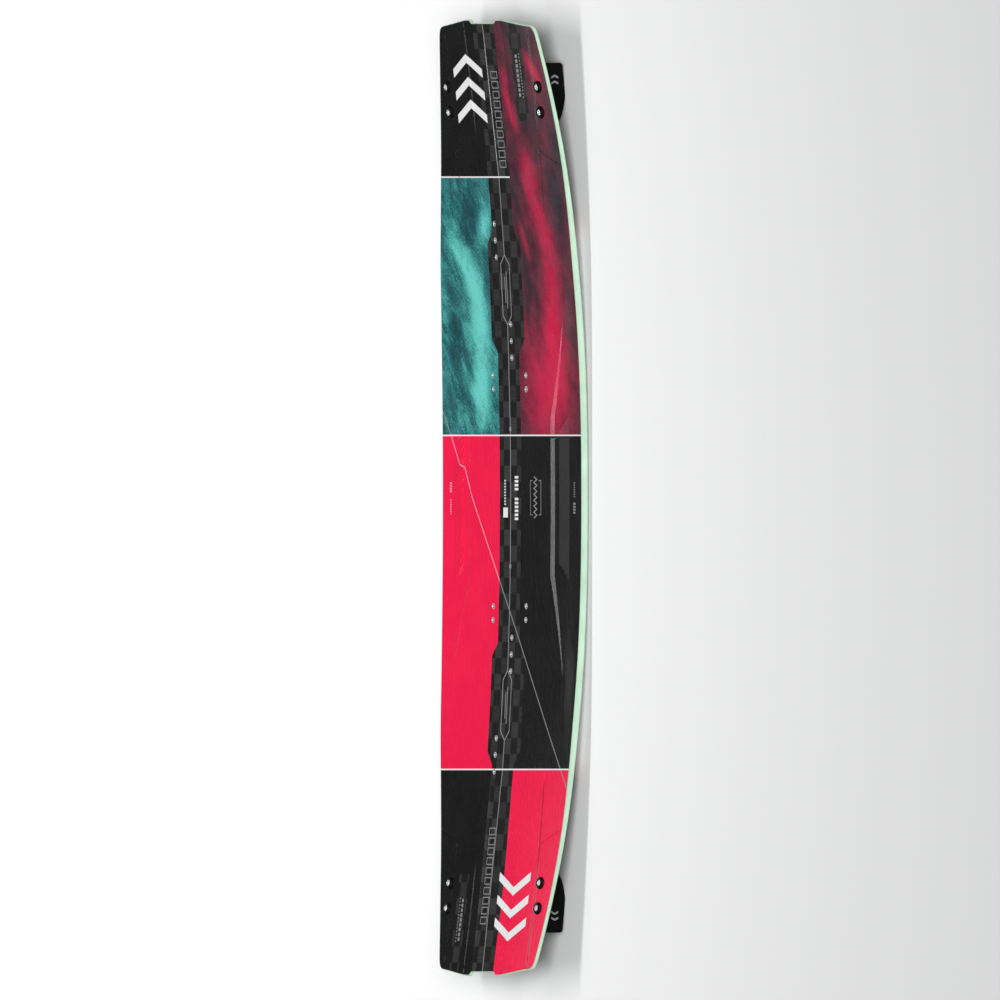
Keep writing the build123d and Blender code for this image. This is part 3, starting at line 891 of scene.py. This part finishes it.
EMBLEM = {"length": 105, "width": 92}
EMBLEM_AT = np.array((620, 65))
white_marks = [
    cross_line(TOP_LINE_X, CROSS_LINE, -STRIP_HALF_WIDTH),
    cross_line(MIDDLE_LINE_X, CROSS_LINE),
    cross_line(LOW_LINE_X, CROSS_LINE),
    *chevrons(*EMBLEM_AT, **EMBLEM),
    *chevrons(*-EMBLEM_AT, **EMBLEM, point=-1),
    *blocks(8, 17, 40, 4.5, 9, fill=0.5),
    rectangle(-22.5, 15.5, 15, 14),
    *blocks(22, -18, 24, 11, 4),
    *blocks(-17, -18, 36, 11, 6),
]

ZIGZAG_STEP = 4.5
zigzag = [(32 - ZIGZAG_STEP * step, -76 + ZIGZAG_STEP * (-1) ** step) for step in range(15)]
grey_marks = [
    stripe([(130, 210), (50, 157), (46, 145), (0, 118), (-125, 33), (-447, -198)], THIN_LINE),
    stripe([(26, -87), (26, -93), (-26, -93), (-26, -87)], BOX_LINE),
    stripe([(26, -67), (26, -61), (-26, -61), (-26, -67)], FAINT_LINE),
    stripe(zigzag, THIN_LINE),
    *blocks(16, 188, 17, 6, 4),
    *blocks(-14, 188, 24, 4, 7, fill=0.45),
    *blocks(12, -192, 24, 4, 7, fill=0.45),
    *blocks(-16, -192, 18, 7, 4),
]

HEXAGON = [(262, 0), (276, 13), (354, 13), (368, 0), (354, -13), (276, -13)]
HEXAGON_MIDDLE = 315
BOX_ROW_ALONG = (506, 656)
BOX_ROW_Y = 16
BOX_PITCH = 15
BOX_SIZE = (10, 18)


def half_marks(end):
    """The marks that both halves of the deck have: the line along the middle with its long
    hexagon, and two rows of blocks and one of boxes near the tip."""
    hexagon = [(end * x, y) for x, y in HEXAGON]
    marks = [
        stripe([(end * HALF_LENGTH, 0), hexagon[3]], THIN_LINE),
        stripe([hexagon[0], (0, 0)], THIN_LINE),
        stripe(hexagon[:4], THIN_LINE),
        stripe(hexagon[3:] + hexagon[:1], THIN_LINE),
        rectangle(end * 104, 0, 6, 6),
        rectangle(end * HEXAGON_MIDDLE, -2.5, 56, THIN_LINE),
        rectangle(end * HEXAGON_MIDDLE, 2.5, 40, THIN_LINE),
        *blocks(end * 640, -end * 88, 66, 6, 9, fill=0.7),
        *blocks(end * 640, -end * 97, 70, 2.5, 14, fill=0.5),
    ]
    for x in end * np.arange(*BOX_ROW_ALONG, BOX_PITCH):
        corners = rectangle(x, -end * BOX_ROW_Y, *BOX_SIZE)
        marks.append(stripe(corners, BOX_LINE))
        marks.append(stripe(corners[[3, 0]], BOX_LINE))
    return marks


for end in ENDS.values():
    grey_marks += half_marks(end)

# ---- the deck's plan ----

holes = [circle(x, y, INSERT_RADIUS) for spots in INSERTS.values() for x, y in spots]
for end in ENDS.values():
    for side in (1, -1):
        holes += [circle(end * x, side * FIN_Y, BOLT_HOLE_RADIUS) for x in FIN_BOLT_X]

deck_edge = board_outline(deck_half_width, TIP_BEVEL_WIDTH)
outer_edge = board_outline(outer_half_width, 0)
core_edge = board_outline(core_half_width, RAIL_WIDTH)


def both_ways(distances):
    distances = np.unique(np.array(distances, float))
    return np.concatenate([-distances[distances > 0][::-1], distances])


def grid(xs, ys):
    x, y = np.meshgrid(xs, ys)
    return np.stack([x.ravel(), y.ravel()], axis=1)


def in_quarters(points):
    """Points of the left tip's heel side, repeated in the deck's other quarters."""
    return np.concatenate([points * (sx, sy) for sx in (1, -1) for sy in (1, -1)])


# The relief creases sharply at these distances from the middle, so mesh rows run close beside them
BESIDE = 0.05
DECK_KINKS = (
    WALL_Y - WALL_LEAD,
    WALL_Y - WALL_LEAD + WALL_RUN * SCOOP_DEPTH,
    WALL_Y - CREASE_HALF_WIDTH,
    WALL_Y,
    WALL_Y + CREASE_HALF_WIDTH,
    *RIDGE_Y,
)
deck_rows = both_ways(
    [*range(0, 50, 6), *range(50, 68, 2), *range(70, 102, 5), *range(103, 187, 2), *range(190, 215, 6)]
    + list(np.linspace(*PAD_INNER_STEP, 5))
    + [kink + side * BESIDE for kink in DECK_KINKS for side in (-1, 1)]
)
deck_columns = both_ways(np.arange(0, HALF_LENGTH, 6))


def branch_points():
    """Mesh points beside the edges and the middle of the short crease."""
    run = BRANCH_TO - BRANCH_FROM
    across = np.array((-run[1], run[0])) / np.hypot(*run)
    offsets = [line + side * BESIDE for line in (-0.8, 0, 0.8) for side in (-1, 1)]
    starts = [BRANCH_FROM + run * share for share in np.linspace(0, 1, 25)]
    return np.array([start + across * offset for start in starts for offset in offsets])


def wall_points():
    """Mesh points beside the top and the foot of the leaning part of the scoop's wall."""
    x = np.arange(WALL_BEND_X, WALL_END_X, 1.6)
    top, depth = scoop_wall(x)
    lines = [line + offset for line in (top, top + WALL_RUN * depth) for offset in (-BESIDE, BESIDE)]
    return np.concatenate([np.stack([x, line], axis=1) for line in lines])


deck_plan = Plan(
    {
        "deck": [deck_edge],
        "core": [core_edge],
        "strip": [strip_outline],
        "patch": patches,
        "white": white_marks,
        "grey": grey_marks,
        "hole": holes,
    },
    np.concatenate(
        [grid(deck_columns, deck_rows), in_quarters(branch_points()), in_quarters(wall_points())]
    ),
)

# ---- deck film, in one panel for each printed field ----

inside = deck_plan.inside
on_deck = inside["deck"] & ~inside["hole"]
white = on_deck & inside["white"]
grey = on_deck & inside["grey"] & ~white
plain = on_deck & ~white & ~grey
strip = plain & inside["strip"]
patch = plain & inside["patch"] & ~strip
field = plain & ~strip & ~patch
centre_x, centre_y = deck_plan.centres.T
heel_side = centre_y > 0
film_bottom = raised(deck_height, -FILM)

PANELS = [
    ("heel", TOP_LINE_X, HALF_LENGTH, "black"),
    ("heel", MIDDLE_LINE_X, TOP_LINE_X, "teal"),
    ("heel", LOW_LINE_X, MIDDLE_LINE_X, "red"),
    ("heel", -HALF_LENGTH, LOW_LINE_X, "black"),
    ("toe", MIDDLE_LINE_X, HALF_LENGTH, "smoke"),
    ("toe", LOW_LINE_X, MIDDLE_LINE_X, "black"),
    ("toe", -HALF_LENGTH, LOW_LINE_X, "red"),
]


def film(name, chosen, colour):
    look = LOOKS[colour]
    name = f"deck_{name}_{colour}"
    sheet(name, deck_plan, chosen, deck_height, film_bottom, look, "deck_film", ["topsheet"])


for number, (side, from_x, to_x, colour) in enumerate(PANELS, 1):
    own_side = heel_side if side == "heel" else ~heel_side
    film(f"film_{number}", field & own_side & (centre_x > from_x) & (centre_x < to_x), colour)

film("print", white, "white")
over_red = heel_side & (centre_x > LOW_LINE_X) & (centre_x < MIDDLE_LINE_X) & ~inside["strip"]
film("print", grey & ~over_red, "grey")
film("print", grey & over_red, "pink")

# ---- carbon strips ----

for name, chosen in (
    ("carbon_strip_centre", strip),
    ("carbon_patch_left", patch & (centre_x > 0)),
    ("carbon_patch_right", patch & (centre_x < 0)),
):
    sheet(f"{name}_weave", deck_plan, chosen, deck_height, film_bottom, LOOKS["carbon"], "carbon", [name])

# ---- laminate and core under the film ----


def laminate(node, plan, chosen, upper, lower):
    sheet(f"{node}_glass", plan, chosen, upper, lower, LOOKS["laminate"], "laminate", [node])


core_top = raised(deck_height, -SKIN)
core_bottom = raised(base_height, SKIN)
laminate("deck_laminate", deck_plan, on_deck, film_bottom, core_top)
drilled = inside["core"] & ~inside["hole"]
sheet("core_wood", deck_plan, drilled, core_top, core_bottom, LOOKS["wood"], "core_wood", ["wood_core"])

# ---- base ----

BASE_BORDER = 3.0
BASE_LINE = 7.0
base_grid = grid(both_ways(np.arange(0, HALF_LENGTH, 12)), both_ways(np.arange(0, HALF_WIDTH, 12)))
base_plan = Plan(
    {
        "base": [outer_edge],
        "field": [board_outline(lambda x: outer_half_width(x) - BASE_BORDER, BASE_BORDER)],
        "line": [
            cross_line(-LOW_LINE_X, BASE_LINE),
            cross_line(LOW_LINE_X, BASE_LINE),
            *chevrons(0, 0, 300, 190, thickness=42.0),
        ],
    },
    base_grid,
)
base_x = base_plan.centres[:, 0]
whole_base = base_plan.inside["base"]
base_field = whole_base & base_plan.inside["field"]
base_line = base_field & base_plan.inside["line"]
base_plain = base_field & ~base_line
base_top = raised(base_height, FILM)
for name, chosen, colour in (
    ("edge", whole_base & ~base_field, "mint"),
    ("marks", base_line, "base_red"),
    ("left", base_plain & (base_x > -LOW_LINE_X), "base_black"),
    ("middle", base_plain & (np.abs(base_x) <= -LOW_LINE_X), "base_pale"),
    ("right", base_plain & (base_x < LOW_LINE_X), "base_black"),
):
    look = LOOKS[colour]
    sheet(f"base_film_{name}", base_plan, chosen, base_top, base_height, look, "base_film", ["base_sheet"])
laminate("base_laminate", base_plan, whole_base, core_bottom, base_top)

# ---- rails ----

RAIL_MIN_EDGE = 0.2
RAIL_BEVEL_CORNERS = ((0.94, 0.90), (0.12, 0.06))  # shares of the bevel's width and height
RAIL_JOINT_X = HALF_LENGTH - CORNER_DROP - CORNER_RADIUS - RAIL_WIDTH


def rail_sections():
    """For each place round the edge, the rail's closed section from the core's foot outwards."""
    bevel_top = core_top(*deck_edge.T)
    foot = core_bottom(*outer_edge.T)
    bevel_foot = deck_height(*deck_edge.T) - bevel_height(deck_edge[:, 0])
    bevel_foot = np.maximum(bevel_foot, foot + RAIL_MIN_EDGE)
    corners = [(core_edge, core_bottom(*core_edge.T)), (outer_edge, foot), (outer_edge, bevel_foot)]
    for out, down in RAIL_BEVEL_CORNERS:
        corners.append((mix(deck_edge, outer_edge, out), mix(bevel_top, bevel_foot, down)))
    corners += [(deck_edge, bevel_top), (core_edge, core_top(*core_edge.T))]
    return np.stack([np.column_stack([plan, height]) for plan, height in corners], axis=1)


def rail(name, chosen, node):
    """One length of rail through the chosen places, closed at both ends."""
    points, faces = tube(rail_sections()[chosen])
    piece(name, points, faces, LOOKS["mint"], "rail_abs", [node])


def with_neighbours(chosen):
    """The chosen places with one more at each end, so that two lengths of rail meet."""
    return np.concatenate([[chosen[0] - 1], chosen, [chosen[-1] + 1]]) % len(outer_edge)


places = np.arange(len(outer_edge))
edge_x = outer_edge[:, 0]
half_way = len(places) // 2
for side, around in (("heel", places[:half_way]), ("toe", places[half_way:])):
    rail(f"rail_{side}", around[np.abs(edge_x[around]) < RAIL_JOINT_X], f"rail_{side}_side")
from_middle = np.roll(places, half_way)
left_tip = from_middle[edge_x[from_middle] > RAIL_JOINT_X]
rail("rail_tip_left", with_neighbours(left_tip), "rail_left_tip")
rail("rail_tip_right", with_neighbours(places[edge_x < -RAIL_JOINT_X]), "rail_right_tip")

# ---- threaded inserts ----

INSERT_PROFILE = [
    (0.3, -THREAD_DEPTH),
    (3.0, -THREAD_DEPTH),
    *thread(2.95, 0.1 - THREAD_DEPTH, -0.5, 0.25),
    (3.45, 0.0),
    (INSERT_RADIUS - 0.25, 0.0),
    (INSERT_RADIUS - 0.05, -0.2),
    (INSERT_RADIUS - 0.05, INSERT_FLANGE - INSERT_LENGTH),
    (INSERT_FLANGE_RADIUS, INSERT_FLANGE - INSERT_LENGTH),
    (INSERT_FLANGE_RADIUS, -INSERT_LENGTH),
    (0.3, -INSERT_LENGTH),
]
insert_points, insert_faces = lathe(INSERT_PROFILE)
for node, spots in INSERTS.items():
    seats = [(x, y, deck_height(x, y) - INSERT_RECESS) for x, y in spots]
    shape = joined([(insert_points + seat, insert_faces) for seat in seats])
    piece(f"{node}_turned", *shape, LOOKS["insert"], "insert_steel", [node])

# ---- fins, washers and screws ----

SEAT_RISE = 0.05
SKIRT_GAP = 0.02
WASHER_PROFILE = [
    (3.5, -1.0), (3.5, WASHER_FLOOR), (5.2, WASHER_FLOOR),
    (5.3, 3.7), (5.7, 4.0), (6.6, 3.85), (7.6, 3.4), (8.5, 2.6), (9.2, 1.6), (9.5, 0.8),
    (9.5, -1.0), (3.5, -1.0),
]
HEAD_Z = WASHER_FLOOR + 2.6
SHANK_END = WASHER_FLOOR - 18.0
SCREW_PROFILE = [
    (0.2, HEAD_Z - 1.6), (2.5, HEAD_Z - 1.6, "hex"), (2.5, HEAD_Z - 0.2, "hex"),
    (2.95, HEAD_Z), (4.0, HEAD_Z), (4.6, HEAD_Z - 0.35), (4.9, HEAD_Z - 1.1),
    (4.9, WASHER_FLOOR), (3.0, WASHER_FLOOR),
    *thread(2.7, WASHER_FLOOR - 2.0, SHANK_END + 0.6, 0.3),
    (2.2, SHANK_END),
    (0.2, SHANK_END),
]


def bolt_axes(end, side, bolt_x):
    """The frame of one fin screw: its lean along the rocker and its place on the deck."""
    x, y = end * bolt_x, side * FIN_Y
    slope = end * ROCKER_POWER * rocker(FIN_MIDDLE_X) / FIN_MIDDLE_X
    upward = np.array((-slope, 0, 1)) / math.hypot(slope, 1)
    forward = np.array((1, 0, slope)) / math.hypot(slope, 1)
    z = MID_DECK_Z + rocker(x) - edge_drop(x) * (FIN_Y / deck_half_width(x)) ** 2 + SEAT_RISE
    return np.stack([forward, (0, 1, 0), upward], axis=1), np.array((x, y, z))


def curve_through(points, steps=8):
    """A smooth curve through a few points."""
    points = np.array(points, float)
    ends = np.concatenate([2 * points[:1] - points[1:2], points, 2 * points[-1:] - points[-2:-1]])
    runs = []
    for before, start, finish, after in zip(ends, ends[1:], ends[2:], ends[3:]):
        leaving = start + (finish - before) / 6
        arriving = finish - (after - start) / 6
        runs.append(bezier(start, leaving, arriving, finish, steps)[:-1])
    return np.concatenate(runs + [points[-1:]])


outer_corner = (FIN_OUTER_X, base_height(FIN_OUTER_X, FIN_Y))
inner_corner = (FIN_INNER_X, base_height(FIN_INNER_X, FIN_Y))
lowest = (FIN_DEEPEST_X, 0)
heel_run = rounded([outer_corner, (FIN_OUTER_X, FIN_HEEL_RISE), lowest], FIN_HEEL_RADIUS, 6)
sweep = curve_through([lowest, (FIN_DEEPEST_X - 19, 3.6), (FIN_DEEPEST_X - 34, 9.4), inner_corner])
free_edge = np.concatenate([heel_run[:-1], sweep])
seated_x = np.linspace(FIN_INNER_X, FIN_OUTER_X, 22)[1:-1]
seated_edge = np.stack([seated_x, base_height(seated_x, FIN_Y) + FIN_BITE], axis=1)
fin_outline = np.concatenate([free_edge, seated_edge])


def edge_distance(x, z):
    """How far a point of the fin lies from its free edge."""
    starts, ends = free_edge[:-1], free_edge[1:]
    run = ends - starts
    offset = np.stack([x, z], axis=1)[:, None] - starts
    share = np.clip(np.sum(offset * run, axis=2) / np.sum(run * run, axis=1), 0, 1)
    return np.linalg.norm(offset - share[..., None] * run, axis=2).min(axis=1)


def fin_half_thickness(x, z):
    """A blade foiled towards its free edge, with a thicker root round the bushes."""
    x = np.abs(x)
    inward = np.clip(edge_distance(x, z) / FIN_FOIL, 0, 1)
    blade = mix(FIN_EDGE_HALF_THICKNESS, FIN_HALF_THICKNESS, np.sqrt(1 - (1 - inward) ** 2))
    below = base_height(x, FIN_Y) - z
    root = smooth(x, *FIN_ROOT_FROM) * smooth(x, *FIN_ROOT_TO) * smooth(below, *FIN_ROOT_DOWN)
    return mix(blade, FIN_ROOT_HALF_THICKNESS, root)


def fin_face(sign, rise=0.0):
    """One face of the blade, moved off it by this much."""
    return lambda x, z: sign * (fin_half_thickness(x, z) + rise)


def blade(corner, plan, upright):
    look, node = LOOKS["fin"], f"fin_{corner}"
    inside = plan.inside["fin"]
    sheet(f"{node}_blade", plan, inside, fin_face(1), fin_face(-1), look, "fin_nylon", [node], upright)


def fin_mark(corner, side, plan, upright):
    """Two arrowheads on the outer face of the blade."""
    faces = [fin_face(-side, rise) for rise in (MARK_RISE, -MARK_SINK)]
    upper, lower = faces if side < 0 else faces[::-1]
    inside = plan.inside["mark"]
    sheet(f"fin_{corner}_mark", plan, inside, upper, lower, LOOKS["grey"], "fin_nylon", [], upright)


def fastenings(corner, end, side):
    """The washers, screws and bushes of one fin."""
    washers, screws = [], []
    for bolt_x in FIN_BOLT_X:
        axes, seat = bolt_axes(end, side, bolt_x)
        points, faces = lathe(WASHER_PROFILE)
        skirt = points[:, 2] < 0
        points = points @ axes.T + seat
        points[skirt, 2] = deck_height(points[skirt, 0], points[skirt, 1]) + SKIRT_GAP
        washers.append((points, faces))
        points, faces = lathe(SCREW_PROFILE, steps=36)
        screws.append((points @ axes.T + seat, faces))
    for kind, slot, shapes in (("washer", "washer_nylon", washers), ("screw", "screw_steel", screws)):
        piece(f"{kind}s_{corner}", *joined(shapes), LOOKS[kind], slot, [f"fin_{kind}s_{corner}"])
    bush_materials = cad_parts[f"fin_bushes_{corner}"].data.materials
    bush_materials.clear()
    bush_materials.append(LOOKS["brass"])


fin_grid = grid(np.arange(FIN_INNER_X, FIN_OUTER_X, 1.6), np.arange(1.0, 48.0, 1.6))
mark_grid = grid(np.arange(622, 650, 1.6), np.arange(10, 30, 1.6))
for end_name, end in ENDS.items():
    fin_plan = Plan({"fin": [fin_outline * (end, 1)]}, fin_grid * (end, 1))
    marks = chevrons(end * 634, 19.5, 15, 12, count=2, thickness=3.2, point=end)
    mark_plan = Plan({"mark": marks}, mark_grid * (end, 1))
    for side_name, side in SIDES.items():
        corner = f"{end_name}_{side_name}"
        upright = np.array([(1, 0, 0, 0), (0, 0, -1, side * FIN_Y), (0, 1, 0, 0)], float)
        blade(corner, fin_plan, upright)
        fin_mark(corner, side, mark_plan, upright)
        fastenings(corner, end, side)

# ---- floor, light and camera ----

FLOOR_SIZE = 80.0
LIGHT_DISTANCE = 2.6
CAMERA_ELEVATION = math.radians(29.5)
CAMERA_DISTANCE = 3.0
VIEW_WIDTH = 1.5161
LOOK_AT = Vector((-0.0035, 0.0328, MID_DECK_Z * MM))

floor_mesh = bpy.data.meshes.new("floor")
floor_corners = rectangle(0, 0, FLOOR_SIZE, FLOOR_SIZE)
floor_mesh.from_pydata([(x, y, 0) for x, y in floor_corners], [], [(0, 1, 2, 3)])
floor_look = Look("pale_floor", roughness=0.9, specular=0.0)
floor_mesh.materials.append(floor_look.finish(srgb(250, 250, 250), spread=0.02))
placed("floor", floor_mesh)


def strip_light(name, elevation, power):
    """A long soft light over the heel side, which faces the middle of the board. The camera sees
    its reflection in the deck's slopes."""
    light = bpy.data.lights.new(name, "AREA")
    light.shape = "RECTANGLE"
    light.size = 2.8
    light.size_y = 0.2
    light.energy = power
    obj = placed(name, light)
    angle = math.radians(elevation)
    obj.location = (0, LIGHT_DISTANCE * math.cos(angle), LIGHT_DISTANCE * math.sin(angle))
    obj.rotation_euler = (-obj.location).to_track_quat("-Z", "Y").to_euler()


strip_light("overhead_light", 57.5, 40)
strip_light("low_light", 42, 2.8)
fill = bpy.data.lights.new("fill_light", "SUN")
fill.energy = 2.45
fill.angle = math.radians(36)
fill_elevation = math.radians(37)
placed("fill_light", fill).rotation_euler = (math.pi / 2 - fill_elevation, 0, 0)

world = bpy.data.worlds.new("studio")
scene.world = world
world.use_nodes = True
background = world.node_tree.nodes["Background"]
background.inputs["Color"].default_value = srgb(235, 238, 240)
background.inputs["Strength"].default_value = 0.11
scene.view_settings.view_transform = "Standard"

camera = bpy.data.cameras.new("camera")
camera.type = "ORTHO"
camera.ortho_scale = VIEW_WIDTH
forward = Vector((0, math.cos(CAMERA_ELEVATION), -math.sin(CAMERA_ELEVATION)))
picture_up = Vector((1, 0, 0))
picture_right = forward.cross(picture_up)
turn = Matrix((picture_right, picture_up, -forward)).transposed()
scene.camera = placed("camera", camera)
scene.camera.matrix_world = Matrix.Translation(LOOK_AT - forward * CAMERA_DISTANCE) @ turn.to_4x4()
